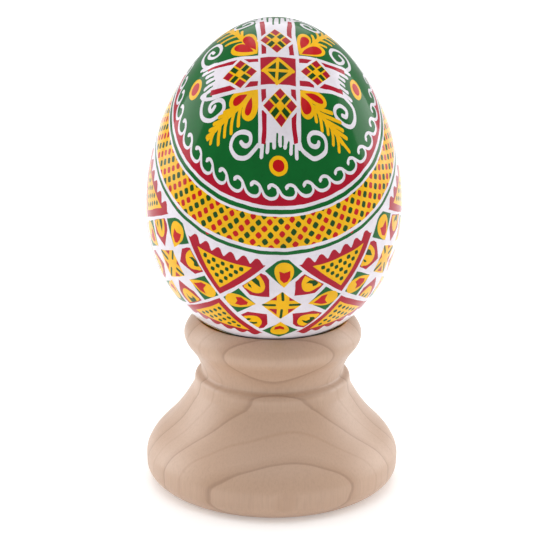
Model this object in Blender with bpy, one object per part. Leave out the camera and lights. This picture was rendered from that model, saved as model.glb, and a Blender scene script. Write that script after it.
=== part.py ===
"""A pysanka: a blown, decorated hen's egg that stands in a turned wooden stand.

Metres, +Z up.  The origin is the centre of the stand's flat underside, and both pieces are
turned round the Z axis.  The egg stands blunt end down in the stand's dished top and lifts out.
"""

import math

import bmesh
import bpy
from mathutils import Vector

# Egg
EGG_LENGTH = 0.0564
EGG_WIDTH = 0.0440
EGG_WIDEST_DROP = 0.0040      # how far the widest place lies below mid-length
SHELL_WALL = 0.0004
DRAIN_HOLE_RADIUS = 0.0015    # the one hole that the egg was blown through, at its blunt end

# Seat, where the egg stands in the dished top
SEAT_RADIUS = 0.0119          # where the dish leaves the egg and turns over to the rim
SEAT_FOOT_RADIUS = 0.0085     # where the dish leaves the egg again and drops away under it
SEAT_CLEARANCE = 0.0003
DISH_DEPTH = 0.0015           # free depth under the egg's blunt end

# Stand, from the rim down to the foot.  Each rise is the height of one stretch of the outline.
STAND_HEIGHT = 0.03015
RIM_WIDTH = 0.0013            # from the seat's upper edge out to the crest
RIM_GAP = 0.0004             # straight up from the crest to the egg
RIM_SLOPE_RISE = 0.0032       # from the collar's widest place up to the crest
COLLAR_OVERHANG = 0.0021      # the collar's widest place stands this far outside the crest
COLLAR_RISE = 0.0037
THROAT_RADIUS = 0.01344       # where the collar's underside meets the neck
THROAT_RISE = 0.00295
NECK_RADIUS = 0.01237
NECK_RISE = 0.00165
BEAD_RADIUS = 0.01358
BEAD_RISE = 0.0016
CREASE_RADIUS = 0.01385       # sharp line between the bead and the flared foot
FLARE_INSET = 0.0002          # the flare starts this far inside the foot's widest place
FOOT_BAND_RISE = 0.0028       # from the foot's widest place up to the flare
FOOT_BULGE_RADIUS = 0.02205
FOOT_BULGE_HEIGHT = 0.0031
FOOT_RADIUS = 0.0193          # edge of the flat underside

# Fineness
ROUND_STEPS = 48
EGG_RINGS = 24
CURVE_STEPS = 5
FLARE_STEPS = 9
MERGE_DISTANCE = 0.00001


def egg_radius(height):
    """Radius of the egg's outer surface at a height above its mid-length (pointed end up)."""
    across = EGG_LENGTH ** 2 - 4 * height ** 2
    along = EGG_LENGTH ** 2 + 8 * EGG_WIDEST_DROP * height + 4 * EGG_WIDEST_DROP ** 2
    return EGG_WIDTH / 2 * math.sqrt(max(across, 0.0) / along)


def egg_point(turn):
    """Outer surface at an angle from the pointed end: radius, height above mid-length."""
    height = EGG_LENGTH / 2 * math.cos(turn)
    return Vector((egg_radius(height), height))


def egg_normal(turn):
    """Outward direction of the outer surface at an angle from the pointed end."""
    step = 0.0001
    along = egg_point(turn + step) - egg_point(turn - step)
    return Vector((-along.y, along.x)).normalized()


def blunt_turn(radius):
    """Angle from the pointed end at which the blunt half has a given radius."""
    widest = math.acos(-2 * EGG_WIDEST_DROP / EGG_LENGTH)
    low, high = widest, math.pi
    for _ in range(60):
        middle = (low + high) / 2
        if egg_point(middle).x > radius:
            low = middle
        else:
            high = middle
    return (low + high) / 2


def heading(degrees):
    turn = math.radians(degrees)
    return Vector((math.cos(turn), math.sin(turn)))


def arc(start, start_heading, end, end_heading, lead=0.36, trail=0.36, steps=CURVE_STEPS):
    """Smooth curve between two profile points.  Headings are degrees from +X, towards +Z.

    Lead and trail say how long the curve keeps each heading, as a share of its chord.  The
    start is left out, so that curves join end to end.
    """
    chord = (end - start).length
    leading = start + chord * lead * heading(start_heading)
    trailing = end - chord * trail * heading(end_heading)
    points = []
    for step in range(1, steps + 1):
        t = step / steps
        s = 1 - t
        near = s ** 3 * start + 3 * s * s * t * leading
        far = 3 * s * t * t * trailing + t ** 3 * end
        points.append(near + far)
    return points


def shell_profile():
    """Down the outside from the pointed end, round the drain hole's lip, up the inside."""
    last = blunt_turn(DRAIN_HOLE_RADIUS)
    turns = [last * ring / EGG_RINGS for ring in range(1, EGG_RINGS + 1)]
    top = EGG_LENGTH / 2
    outside = [Vector((0, top))] + [egg_point(turn) for turn in turns]
    inside = [egg_point(turn) - SHELL_WALL * egg_normal(turn) for turn in reversed(turns)]
    return outside + inside + [Vector((0, top - SHELL_WALL))]


def seat_curve():
    """The part of the dish that follows the egg, from its upper edge down, in the egg's frame."""
    upper = blunt_turn(SEAT_RADIUS)
    lower = blunt_turn(SEAT_FOOT_RADIUS)
    points = []
    for step in range(CURVE_STEPS + 1):
        turn = upper + (lower - upper) * step / CURVE_STEPS
        points.append(egg_point(turn) + SEAT_CLEARANCE * egg_normal(turn))
    return points


def rim_crest():
    """Radius and height of the rim's highest circle."""
    return Vector((seat_curve()[0].x + RIM_WIDTH, STAND_HEIGHT))


def egg_centre_height():
    """Height of the egg's mid-length, where it clears the rim's crest by the rim gap."""
    crest = rim_crest()
    egg_over_crest = egg_point(blunt_turn(crest.x))
    return crest.y + RIM_GAP - egg_over_crest.y


def egg_slope(radius):
    """Steepness of the egg's underside where the seat has a given radius, in degrees."""
    outward = egg_normal(blunt_turn(radius))
    return math.degrees(math.atan2(outward.x, -outward.y))


def stand_profile():
    """Out from the middle of the dish, over the rim and down the outside to the underside."""
    lift = Vector((0, egg_centre_height()))
    seat = [point + lift for point in reversed(seat_curve())]
    dish_bottom = Vector((0, lift.y - EGG_LENGTH / 2 - DISH_DEPTH))
    crest = rim_crest()
    collar = Vector((crest.x + COLLAR_OVERHANG, crest.y - RIM_SLOPE_RISE))
    throat = Vector((THROAT_RADIUS, collar.y - COLLAR_RISE))
    neck = Vector((NECK_RADIUS, throat.y - THROAT_RISE))
    bead = Vector((BEAD_RADIUS, neck.y - NECK_RISE))
    crease = Vector((CREASE_RADIUS, bead.y - BEAD_RISE))
    bulge = Vector((FOOT_BULGE_RADIUS, FOOT_BULGE_HEIGHT))
    flare = Vector((FOOT_BULGE_RADIUS - FLARE_INSET, FOOT_BULGE_HEIGHT + FOOT_BAND_RISE))
    foot = Vector((FOOT_RADIUS, 0))

    profile = [dish_bottom]
    profile += arc(dish_bottom, 0, seat[0], 50)
    profile += seat[1:]
    profile += arc(seat[-1], egg_slope(SEAT_RADIUS), crest, 0)
    profile += arc(crest, -30, collar, -90, 0.1, 0.34)
    profile += arc(collar, -90, throat, -120)
    profile += arc(throat, -120, neck, -90, 0.22, 0.22)
    profile += arc(neck, -90, bead, -90, 0.3, 0.5)
    profile += arc(bead, -90, crease, -80)
    profile += arc(crease, -62, flare, -68, 0.63, 0.31, FLARE_STEPS)
    profile += arc(flare, -68, bulge, -90)
    profile += arc(bulge, -90, foot, -160, 0.44, 0.12)
    return profile + [Vector((0, 0))]


def turned_piece(name, profile, material):
    """A piece turned round Z from its profile, whose ends lie on the axis."""
    mesh = bpy.data.meshes.new(name)
    points = [(point.x, 0, point.y) for point in profile]
    edges = [(index, index + 1) for index in range(len(points) - 1)]
    mesh.from_pydata(points, edges, [])
    mesh.materials.append(material)
    piece = bpy.data.objects.new(name, mesh)
    bpy.context.scene.collection.objects.link(piece)

    lathe = piece.modifiers.new("lathe", "SCREW")
    lathe.axis = "Z"
    lathe.angle = math.tau
    lathe.steps = ROUND_STEPS
    lathe.render_steps = ROUND_STEPS
    lathe.use_merge_vertices = True
    lathe.merge_threshold = MERGE_DISTANCE
    return piece


def bake_smooth(piece):
    """Keep the turned mesh as the piece's own, closed at the axis and shaded smooth."""
    bpy.context.view_layer.update()
    graph = bpy.context.evaluated_depsgraph_get()
    mesh = bpy.data.meshes.new_from_object(piece.evaluated_get(graph))
    work = bmesh.new()
    work.from_mesh(mesh)
    bmesh.ops.remove_doubles(work, verts=work.verts, dist=MERGE_DISTANCE)
    bmesh.ops.triangulate(work, faces=work.faces)
    work.to_mesh(mesh)
    work.free()
    mesh.shade_smooth()
    mesh.set_sharp_from_angle(angle=math.radians(35))
    piece.modifiers.clear()
    piece.data = mesh


def material(name, colour, roughness, coat):
    finish = bpy.data.materials.new(name)
    finish.use_nodes = True
    finish.diffuse_color = (*colour, 1)
    shader = finish.node_tree.nodes["Principled BSDF"]
    shader.inputs["Base Color"].default_value = (*colour, 1)
    shader.inputs["Roughness"].default_value = roughness
    shader.inputs["Metallic"].default_value = 0.0
    shader.inputs["Coat Weight"].default_value = coat
    return finish


def eggshell():
    varnished = material("varnished_dye", (0.45, 0.02, 0.06), 0.2, 0.8)
    egg = turned_piece("eggshell", shell_profile(), varnished)
    bake_smooth(egg)
    return egg


def turned_stand():
    wood = material("pale_turned_wood", (0.55, 0.38, 0.27), 0.5, 0.1)
    stand = turned_piece("turned_stand", stand_profile(), wood)
    bake_smooth(stand)
    return stand


def lift_axis(stand):
    """Empty on the egg's lift axis, at its centre, which carries the egg."""
    axis = bpy.data.objects.new("egg_lift_axis", None)
    axis.empty_display_type = "SINGLE_ARROW"
    axis.empty_display_size = EGG_LENGTH
    axis.location = (0, 0, egg_centre_height())
    bpy.context.scene.collection.objects.link(axis)
    axis.parent = stand
    return axis


def main():
    for thing in list(bpy.data.objects):
        bpy.data.objects.remove(thing, do_unlink=True)
    stand = turned_stand()
    egg = eggshell()
    egg.parent = lift_axis(stand)


main()
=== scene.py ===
"""A pysanka, a blown hen's egg with a drawn and dyed pattern, standing in a turned wooden stand.

Metres, +Z up, -Y towards the front.  Places in the pattern are in degrees of arc on a sphere
that the egg is drawn out of.  The pattern has its own pole, tilted away from the egg's pointed
end towards the front, in the middle of the medallion.
"""

import math

import bpy
import numpy as np
from mathutils import Matrix, Vector, noise
from mathutils.geometry import delaunay_2d_cdt


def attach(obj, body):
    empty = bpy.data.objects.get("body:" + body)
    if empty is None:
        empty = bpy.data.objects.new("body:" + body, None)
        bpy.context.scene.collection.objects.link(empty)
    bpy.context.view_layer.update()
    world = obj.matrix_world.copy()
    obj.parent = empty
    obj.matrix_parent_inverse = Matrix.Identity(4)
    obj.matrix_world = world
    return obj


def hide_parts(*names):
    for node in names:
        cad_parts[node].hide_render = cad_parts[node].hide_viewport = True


bl_info = {
    "name": "Pysanka on a Turned Stand",
    "version": (1, 0, 0),
    "blender": (4, 5, 0),
    "location": "3D View > Sidebar > Pysanka",
    "description": "Adds a pattern-dyed eggshell, its turned wooden stand and a plain studio",
    "category": "Add Mesh",
}

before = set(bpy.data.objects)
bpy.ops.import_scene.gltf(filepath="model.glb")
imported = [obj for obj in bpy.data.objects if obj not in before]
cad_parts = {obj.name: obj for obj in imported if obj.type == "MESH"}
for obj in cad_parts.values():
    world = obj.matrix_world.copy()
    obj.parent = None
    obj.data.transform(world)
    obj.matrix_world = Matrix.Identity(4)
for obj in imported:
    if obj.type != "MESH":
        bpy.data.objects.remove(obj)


def linear(red, green, blue):
    """Colour for a shader, from the 0 to 255 values that it has on a screen."""
    channels = (value / 255 for value in (red, green, blue))
    return tuple(
        value / 12.92 if value <= 0.04045 else ((value + 0.055) / 1.055) ** 2.4
        for value in channels
    )


def length(name, description, default):
    return bpy.props.FloatProperty(
        name=name, description=description, default=default, min=0.0, unit="LENGTH", precision=5
    )


def angle(name, description, degrees):
    return bpy.props.FloatProperty(
        name=name, description=description, default=math.radians(degrees), subtype="ANGLE"
    )


def colour(name, description, red, green, blue):
    return bpy.props.FloatVectorProperty(
        name=name,
        description=description,
        default=linear(red, green, blue),
        subtype="COLOR",
        min=0.0,
        max=1.0,
    )


class PysankaEggSizes(bpy.types.PropertyGroup):
    """Sizes of the eggshell and the lie of its pattern"""

    length: length("Length", "From the blunt end to the pointed end", 0.0564)
    width: length("Width", "Across the widest place", 0.0440)
    widest_drop: length("Widest drop", "Widest place below mid-length", 0.0040)
    wall: length("Wall", "Thickness of the shell", 0.0004)
    drain_hole_radius: length("Drain hole", "Radius of the hole in the blunt end", 0.0015)
    pattern_tilt: angle("Pattern tilt", "Medallion's middle, from the pointed end forwards", 28.7)
    pattern_lean: angle("Pattern lean", "Medallion's middle, towards the right", 1.6)
    wander: angle("Wander", "How far hand-drawn lines stray", 0.22)
    facet: angle("Facet", "Size of the shell's facets", 1.6)


class PysankaStandSizes(bpy.types.PropertyGroup):
    """Sizes of the turned stand, from its dish down to its foot"""

    height: length("Height", "Crest of the rim above the underside", 0.03015)
    seat_radius: length("Seat", "Where the dish leaves the egg at the top", 0.0119)
    seat_foot_radius: length("Seat foot", "Where the dish leaves the egg below", 0.0085)
    seat_clearance: length("Clearance", "Gap between the seat and the egg", 0.0003)
    dish_depth: length("Dish depth", "Free depth under the egg", 0.0015)
    rim_width: length("Rim width", "From the seat's edge out to the crest", 0.0013)
    rim_gap: length("Rim gap", "Straight up from the crest to the egg", 0.0004)
    rim_slope_rise: length("Rim slope", "From the collar's widest place up to the crest", 0.0032)
    collar_overhang: length("Collar overhang", "Widest place outside the crest", 0.0021)
    collar_rise: length("Collar rise", "From the throat to the widest place", 0.0037)
    throat_radius: length("Throat", "Where the collar meets the neck", 0.01344)
    throat_rise: length("Throat rise", "From the neck up to the throat", 0.00295)
    neck_radius: length("Neck", "Radius of the narrowest place", 0.01237)
    neck_rise: length("Neck rise", "From the bead up to the neck", 0.00165)
    bead_radius: length("Bead", "Radius of the bead under the neck", 0.01358)
    bead_rise: length("Bead rise", "From the crease up to the bead", 0.0016)
    crease_radius: length("Crease", "Sharp line over the flared foot", 0.01385)
    flare_inset: length("Flare inset", "The flare's end inside the foot's widest place", 0.0002)
    foot_band_rise: length("Foot band", "From the foot's widest place to the flare", 0.0028)
    foot_bulge_radius: length("Foot bulge", "Radius of the foot's widest place", 0.02205)
    foot_bulge_height: length("Bulge height", "Height of the foot's widest place", 0.0031)
    foot_radius: length("Foot", "Edge of the flat underside", 0.0193)
    round_steps: bpy.props.IntProperty(
        name="Round steps", description="Facets round the stand", default=144, min=12
    )


class PysankaDyes(bpy.types.PropertyGroup):
    """Colours of the bare shell and of the dyes, in the order that they are numbered"""

    bare: colour("Bare shell", "Inside of the shell", 226, 214, 196)
    white: colour("White", "Shell kept white under wax", 228, 222, 230)
    yellow: colour("Yellow", "First dye", 240, 182, 2)
    green: colour("Green", "Field of the medallion", 0, 96, 36)
    dark_green: colour("Dark green", "Green over yellow, in small marks", 8, 70, 8)
    crimson: colour("Crimson", "Last dye", 170, 8, 40)
    red: colour("Red", "Hearts and petals", 188, 4, 14)


class PysankaWood(bpy.types.PropertyGroup):
    """Colours and growth of the stand's wood"""

    pale: colour("Pale wood", "Wood grown early in a year", 193, 159, 133)
    deep: colour("Deep wood", "Wood grown later in a year", 185, 150, 123)
    line: colour("Growth line", "Thin dark line that closes a year", 170, 135, 109)
    year_width: length("Year width", "From one growth line to the next", 0.0069)
    pith_distance: length("Pith distance", "From the stand's axis back to the pith", 0.085)


class PysankaStudio(bpy.types.PropertyGroup):
    """Camera and lights"""

    distance: length("Distance", "From the camera to the point it looks at", 0.4329)
    elevation: angle("Elevation", "Camera above the horizon", 18.7)
    roll: angle("Roll", "Camera turned about its own view", 0.5)
    lens: bpy.props.FloatProperty(
        name="Lens", description="Focal length in millimetres", default=163.6, min=1.0
    )
    aim: bpy.props.FloatVectorProperty(
        name="Aim",
        description="Point that the camera looks at",
        default=(0.0003, 0.0, 0.0372),
        subtype="XYZ",
        unit="LENGTH",
    )
    side_power: bpy.props.FloatProperty(
        name="Side softboxes", description="Power in watts", default=4.2, min=0.0
    )
    top_power: bpy.props.FloatProperty(
        name="Top softbox", description="Power in watts", default=7.0, min=0.0
    )
    back_power: bpy.props.FloatProperty(
        name="Back softbox", description="Power in watts", default=3.0, min=0.0
    )
    floor_glow: bpy.props.FloatProperty(
        name="Floor glow", description="Light that the floor gives off", default=0.25, min=0.0
    )
    sky: bpy.props.FloatProperty(
        name="Sky", description="Strength of the even light all round", default=0.52, min=0.0
    )


DYES = ("bare", "white", "yellow", "green", "dark_green", "crimson", "red")
BARE, WHITE, YELLOW, GREEN, DARK_GREEN, CRIMSON, RED = range(len(DYES))

# Rings round the medallion, in degrees from its middle
FIELD_EDGE = 57.3
RING_A = (58.5, 60.0)
NET_BAND = (60.9, 71.6)
RING_B = (72.85, 74.15)
CAP_EDGE = 73.5
BELT_END = 122.7
RING_C_WIDTH = 0.55
BELT_REPEATS = 7
STAR_TURN = 4.6
WAVES = 36
EDGE_POINTS = 364  # round a medallion's edge, a whole number for each belt repeat
BELT_SIDE_STEPS = 32
HOLE_POINTS = 48
WALL_RINGS = 40

# Widths of the drawn lines, in degrees
BAR_LINE = 1.5
STRIP_LINE = 2.3
COMB_LINE = 1.8
COMB_GAP = 0.9
SPIRAL_LINE = 1.65
STEM_LINE = 1.9
BARB_LINE = 1.55
WAVE_LINE = 1.15
STREAK_LINE = 1.15

# Cutting and welding the shell's surface
GRID_INSET = 0.985  # how far the inner grid reaches, as a share of the patch
HOLE_MARGIN = 1.15  # how far the grid keeps off the drain hole, as a share of the hole
CUT_TOLERANCE = 1e-5
SEAM_WELD = 1.5e-6
TURNED_WELD = 1e-6
TURN_STEP = 1e-4  # radians to each side, for the outward direction of the egg

# How a hand strays: bumps across the sphere, and where the straying fades out
BROAD_STRAY = 9.0
FINE_STRAY = 23.0
STRAY_FADE = math.radians(6)
STRAY_SEED = 7

# The egg's map, in degrees of its patches
MAP_WIDTH = 275.0
FRONT_ON_MAP = (76, 76)
BACK_ON_MAP = (213, 60)
BELT_ON_MAP = (2, 155)
BELT_MAP_PITCH = (53.5, 51)
BELT_MAP_COLUMNS = 4
WALL_ON_MAP = (241, 240)
WALL_MAP_RADIUS = 28

YEAR_SHIFT = 0.833  # moves the growth lines through the stand, in years

# Studio
FLOOR_WIDTH = 4.0
FLOOR_GAP = 0.0001  # keeps the floor clear of the stand's underside
SOFTBOXES = (  # name, place, width and the setting that holds its power
    ("left_softbox", (-0.9, 0.25, 0.3), 0.7, "side_power"),
    ("right_softbox", (0.9, 0.35, 0.3), 0.7, "side_power"),
    ("back_softbox", (0.0, 0.6, 0.85), 0.8, "back_power"),
    ("top_softbox", (0.0, -0.1, 1.2), 1.6, "top_power"),
)


# Outlines, as lists of (across, down) places in degrees


def curve_through(places, steps=4):
    """Smooth line through places."""
    ends = [places[0], *places, places[-1]]
    line = [places[0]]
    for before, start, end, after in zip(ends, ends[1:], ends[2:], ends[3:]):
        for step in range(1, steps + 1):
            t = step / steps
            line.append(
                tuple(
                    0.5 * (2 * b + (c - a) * t + (2 * a - 5 * b + 4 * c - d) * t * t
                           + (3 * b - a - 3 * c + d) * t ** 3)
                    for a, b, c, d in zip(before, start, end, after)
                )
            )
    return line


def line_sides(line, width):
    """Left and right edges of a drawn line."""
    count = len(line)
    left, right = [], []
    for index, (x, y) in enumerate(line):
        ahead = line[min(index + 1, count - 1)]
        behind = line[max(index - 1, 0)]
        turn = math.atan2(ahead[1] - behind[1], ahead[0] - behind[0])
        across = (-math.sin(turn) * width / 2, math.cos(turn) * width / 2)
        left.append((x + across[0], y + across[1]))
        right.append((x - across[0], y - across[1]))
    return left, right


def stroke(places, width, steps=4):
    """Outline of one drawn line with rounded ends."""
    line = curve_through(places, steps)
    left, right = line_sides(line, width)
    return left + round_end(line[-2], line[-1], width) + right[::-1] + round_end(
        line[1], line[0], width
    )


def strip(places, width):
    """Outline of one drawn line that is cut square at its ends."""
    left, right = line_sides(curve_through(places, 3), width)
    return left + right[::-1]


def round_end(behind, end, width):
    """Half circle over the end of a drawn line."""
    turn = math.atan2(end[1] - behind[1], end[0] - behind[0])
    return [
        (end[0] + math.cos(turn + swing) * width / 2, end[1] + math.sin(turn + swing) * width / 2)
        for swing in (1.0, 0.35, -0.35, -1.0)
    ]


def oval(x, y, half_width, half_height, points=24, squareness=2.0):
    outline = []
    for index in range(points):
        turn = math.tau * index / points
        c, s = math.cos(turn), math.sin(turn)
        reach = (abs(c) ** squareness + abs(s) ** squareness) ** (-1 / squareness)
        outline.append((x + half_width * c * reach, y + half_height * s * reach))
    return outline


def leaf(tip, end, width, points=12):
    """Drop shape, pointed at its tip and round at its end."""
    along = (end[0] - tip[0], end[1] - tip[1])
    span = math.hypot(*along)
    across = (-along[1] / span, along[0] / span)
    left, right = [], []
    for index in range(1, points):
        share = 1 - (1 - index / points) ** 1.6
        half = width / 2 * share * math.sqrt(1 - share) / 0.385
        x, y = tip[0] + along[0] * share, tip[1] + along[1] * share
        left.append((x + across[0] * half, y + across[1] * half))
        right.append((x - across[0] * half, y - across[1] * half))
    return [tip] + left + [end] + right[::-1]


def flipped(places, level):
    """Places mirrored up and down about a level."""
    return [(x, 2 * level - y) for x, y in places]


def moved(places, x, y):
    return [(a + x, b + y) for a, b in places]


def scaled(places, share):
    """An outline scaled about its middle."""
    x = sum(place[0] for place in places) / len(places)
    y = sum(place[1] for place in places) / len(places)
    return [(x + (a - x) * share, y + (b - y) * share) for a, b in places]


def round_pole(places):
    """(turn, distance from the pole) places laid out flat round the pole."""
    return [
        (out * math.sin(math.radians(turn)), out * math.cos(math.radians(turn)))
        for turn, out in places
    ]


def ring_line(radius, points=EDGE_POINTS):
    start = STAR_TURN - 180
    return round_pole([(start + 360 * index / points, radius) for index in range(points)])


def ring(inner, outer, points=EDGE_POINTS // 2):
    """A band between two circles, as an outline and a hole."""
    return [ring_line(outer, points), ring_line(inner, points)[::-1]]


# Medallion

LEFT_BAR = [(-11.4, -21.9), (-9.4, -6), (-8.9, 2), (-8.4, 17.4), (-7.9, 37.4)]
RIGHT_BAR = [(7, -25.4), (7.6, -11.9), (9.1, 2.2), (10, 17.4), (11.7, 37.4)]
TOP_BAR = [
    (-38, -3.4), (-29.3, -1.3), (-20.5, 0.4), (-10.6, 2.2), (-0.6, 2.5), (8.8, 1.3),
    (19.9, -0.8), (26.4, -2.5), (34, -5.5),
]
LOWER_BAR = [
    (-38, 11.6), (-33.4, 14.2), (-21.7, 15.7), (-9.4, 16.2), (-0.6, 15.8), (10, 15.1),
    (19.4, 13.9), (26.4, 11.6), (34, 10.1),
]
ARMS = (
    [(-9, 1.5), (-8.9, 15.8), (9.6, 15.3), (9.2, 1.7)],
    [(-12.4, -27), (-9.4, -6), (-9, 2.4), (9, 2), (7.6, -11.9), (7, -27)],
    [(-9.4, 15.4), (-7.9, 36.4), (11.5, 36.4), (10, 15)],
    [(-31.8, -2), (-20.5, 0.4), (-9, 2.2), (-8.6, 16), (-21.7, 15.7), (-32.5, 14)],
    [(9, 1.4), (19.9, -0.8), (31, -4.2), (31, 10.7), (19.4, 13.9), (9.6, 15.2)],
)
COMB_TINES = (
    ((-6.6, 35), (-6.9, 41)), ((-3.9, 35), (-4.1, 39.4)), ((-0.8, 35), (-0.8, 37.8)),
    ((2, 35), (2.1, 37)), ((4.4, 35), (4.4, 37.7)), ((7.2, 35), (7.4, 39.4)),
    ((10, 35), (10.4, 40.6)),
    ((-31, -1.8), (-39.5, -4.6)), ((-31, 0.5), (-38, -0.9)), ((-30, 2.8), (-36, 2.2)),
    ((-30, 5), (-35.4, 5)), ((-31, 7.3), (-36.6, 8.1)), ((-32, 10), (-38.4, 10.6)),
    ((30, -3), (36.8, -4.7)), ((30, -0.6), (35.2, -1.2)), ((29, 1.8), (33.4, 1.7)),
    ((29, 4.3), (33.2, 4.5)), ((30, 6.5), (35.2, 6.6)), ((30, 8.8), (37.4, 9)),
    ((-10, -25), (-10.6, -34)), ((-7.2, -25), (-7.6, -32)), ((-4.4, -25), (-4.6, -30)),
    ((-1.4, -25), (-1.4, -29)), ((1.6, -25), (1.6, -29.5)), ((4.4, -25), (4.5, -31)),
    ((6.6, -24), (6.7, -34)),
)
COMB_GAPS = (
    ((0.5, 33.6), (0.5, 37)), ((3.1, 34.3), (3.2, 37)), ((6, 36), (6.1, 38)),
    ((-32.4, 4.0), (-34.5, 3.6)), ((-31.6, 6.3), (-35, 6.5)), ((-33.6, 8.8), (-36.5, 9.3)),
    ((30.6, 3), (33.5, 3)), ((31.4, 5.4), (34.5, 5.5)), ((31, 0.6), (34, 0.3)),
    ((-5.9, -23.4), (-6.2, -32)), ((-2.9, -19.6), (-3, -32)), ((0.2, -20.6), (0.1, -32)),
    ((3, -25), (3.1, -32)),
)
EDGE_STRIPS = (
    ((-35.6, -1.9), (-28, 0.1), (-19.6, 2.3)), ((-17.4, 2.6), (-9.4, 3.5)),
    ((-33.4, 11.5), (-26, 13.2), (-19.4, 13.9)), ((-16.6, 14.1), (-9.4, 14.6)),
    ((-8.9, -24.4), (-7.4, -9.4)), ((-7.3, -5.2), (-6.9, 1)),
    ((5.5, -24.8), (5.2, -17), (5.3, -9)), ((5.8, -5.4), (6.4, 1)),
    ((9.8, 3.1), (17.4, 1.2)), ((20.8, 0.5), (33.8, -3.2)),
    ((9.8, 13.3), (17.6, 12.2)), ((20.4, 11.2), (32.6, 8.7)),
    ((-6.6, 16.8), (-6.2, 22.6)), ((-6.1, 25), (-5.8, 32), (-6.3, 36.8)),
    ((7.5, 16.4), (8.1, 21.8)), ((8.2, 25), (8.6, 31), (9.9, 36)),
)
DIAMONDS = (
    [(-27.3, 7.7), (-18.5, 1.9), (-10, 9.2), (-17.9, 15.1)],
    [(10.9, 8), (18.8, -0.2), (26.1, 4.2), (19.4, 11.8)],
    [(-9, -7.2), (-2.1, -15.1), (6.2, -6.9), (-0.6, 0.5)],
    [(-6.7, 23.3), (1.2, 16.5), (9.5, 22.7), (2.3, 31.1)],
)
LOWER_LEFT_SPIRAL = [
    (-8.8, 37.1), (-11.8, 39.6), (-14.7, 40.9), (-18, 40.6), (-20.5, 39.1), (-22.3, 35.9),
    (-20.8, 32.7), (-17, 31.8), (-12.9, 33), (-12.4, 35.6), (-14, 36.9), (-15.8, 36.6),
    (-17.2, 35.3),
]
LOWER_RIGHT_SPIRAL = [
    (11.7, 35.6), (12.9, 37.5), (15.7, 38.8), (18.9, 39.4), (22.1, 37.9), (24.5, 35.6),
    (24.9, 33), (23.4, 30.7), (20.6, 30.1), (17.6, 30.7), (15.9, 32.2), (15.8, 33.7),
    (16.8, 34.9), (18.9, 35.2), (20.6, 34.3), (20.9, 33.3),
]
SPIRALS = (
    LOWER_LEFT_SPIRAL,
    LOWER_RIGHT_SPIRAL,
    moved(flipped(LOWER_LEFT_SPIRAL, 4.8), -1.2, 0),
    moved(flipped(LOWER_RIGHT_SPIRAL, 4.2), -4.2, 0),
    [
        (-36.4, 11.6), (-38.4, 15.7), (-37.5, 20.4), (-32.8, 23.3), (-27, 22.1), (-26.1, 19.2),
        (-28.4, 16.8), (-32.3, 16.5), (-33.7, 18), (-32.6, 19.8), (-30.8, 18.6),
    ],
    [
        (-33.4, -2), (-36.4, -4), (-39, -7.8), (-39.6, -13.7), (-36.4, -17.6), (-31.7, -16.6),
        (-29.1, -11.9), (-29.6, -8), (-32.3, -7.2), (-35.4, -9.6), (-36, -12.3), (-34.4, -13.1),
        (-33, -11),
    ],
    [
        (32.6, -3.8), (35.4, -6), (37.2, -10), (36.4, -14.8), (32.3, -16.6), (27.6, -13.7),
        (26.4, -9), (29.3, -6.2), (32.6, -8.2), (33.5, -11.4), (31.4, -12.6),
    ],
    [
        (34, 10.4), (38.7, 12.1), (39.9, 16.2), (38.1, 20.4), (34, 21.8), (29.3, 20.4),
        (28.7, 17.4), (31.7, 15.1), (34.9, 15.7), (34.9, 18.1), (32.8, 18.6),
    ],
)
DOTS = (
    (1.6, 44.1, 4.7, 3.4), (-42.5, 3.9, 3.8, 5), (40.5, 1, 3.5, 5), (-0.8, -38.5, 4.4, 3.2),
)
PETALS = (
    ((10.4, 16.3), (24.2, 18), 5.8, (13.2, 16.7), (22.4, 17.8), 2.9),
    ((10.6, 16.4), (16.6, 25.8), 7.4, (11.4, 18.2), (15.6, 24.3), 5),
    ((-9.2, 17), (-23.4, 20.6), 6.8, (-14.4, 18.2), (-21.4, 20.5), 3.6),
    ((-9.2, 17), (-15, 28), 7.6, (-12.4, 19.6), (-14.3, 26.2), 3.4),
    ((10, -0.2), (13.9, -15.1), 6.8, (11, -4), (13.8, -12.8), 4.4),
    ((10, -0.2), (22.9, -9.6), 7.2, (11, -0.9), (21.3, -8.1), 4.8),
    ((-10.2, 0.4), (-23.2, -7.2), 7.6, (-12, -1.2), (-21.7, -7.2), 4.6),
    ((-10.2, 0.4), (-16.6, -13.7), 7, (-10.9, -1.8), (-16.8, -12), 4.8),
)
SPRIGS = (
    (((15, 20), (33.4, 29.1)),
     ((27, 20.1), (31.7, 21.8), (33.1, 24.5), (35.5, 26.5), (37.5, 30.6)),
     ((19.4, 26.2), (22.3, 28.6), (25.5, 28.9), (28.6, 31.5), (31.8, 32.7))),
    (((-15, 21), (-34.3, 29.7)),
     ((-25.8, 22.5), (-28.4, 23.6), (-31, 25.3), (-33.2, 27), (-34.8, 28.9)),
     ((-18.6, 29.2), (-22.1, 31.2), (-25.6, 31.6), (-28.9, 33.6), (-33, 32))),
    (((16, -7), (29.9, -35)),
     ((16.8, -16.5), (19.5, -21.5), (22.5, -26), (25.5, -31), (28, -37)),
     ((24, -12.5), (27, -17), (29, -21.5), (31.5, -26.5), (33, -33))),
    (((-16, -7), (-31, -35)),
     ((-26.5, -11.5), (-29.5, -16), (-32, -21), (-34, -27), (-35.5, -33)),
     ((-18.7, -18), (-21.5, -22), (-24.5, -27), (-27.5, -32), (-30, -38))),
)
WAVE_HOOK = [
    (-3.3, 51.5), (-2.9, 50.7), (-0.9, 50.4), (1.4, 51.2), (3.0, 52.6), (4.8, 54.1),
    (7.4, 54.9), (10.3, 54.7), (11.9, 53.4), (11.6, 51.6),
]
WAVE_HEAD = (-3.0, 51.1)
NET_CELL = (-1.2, 67.3)
NET_STEPS = ((2.44, -2.45), (2.952, 1.920))
NET_REACH = (160, 130)  # steps to each side, enough to go round the medallion


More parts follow.
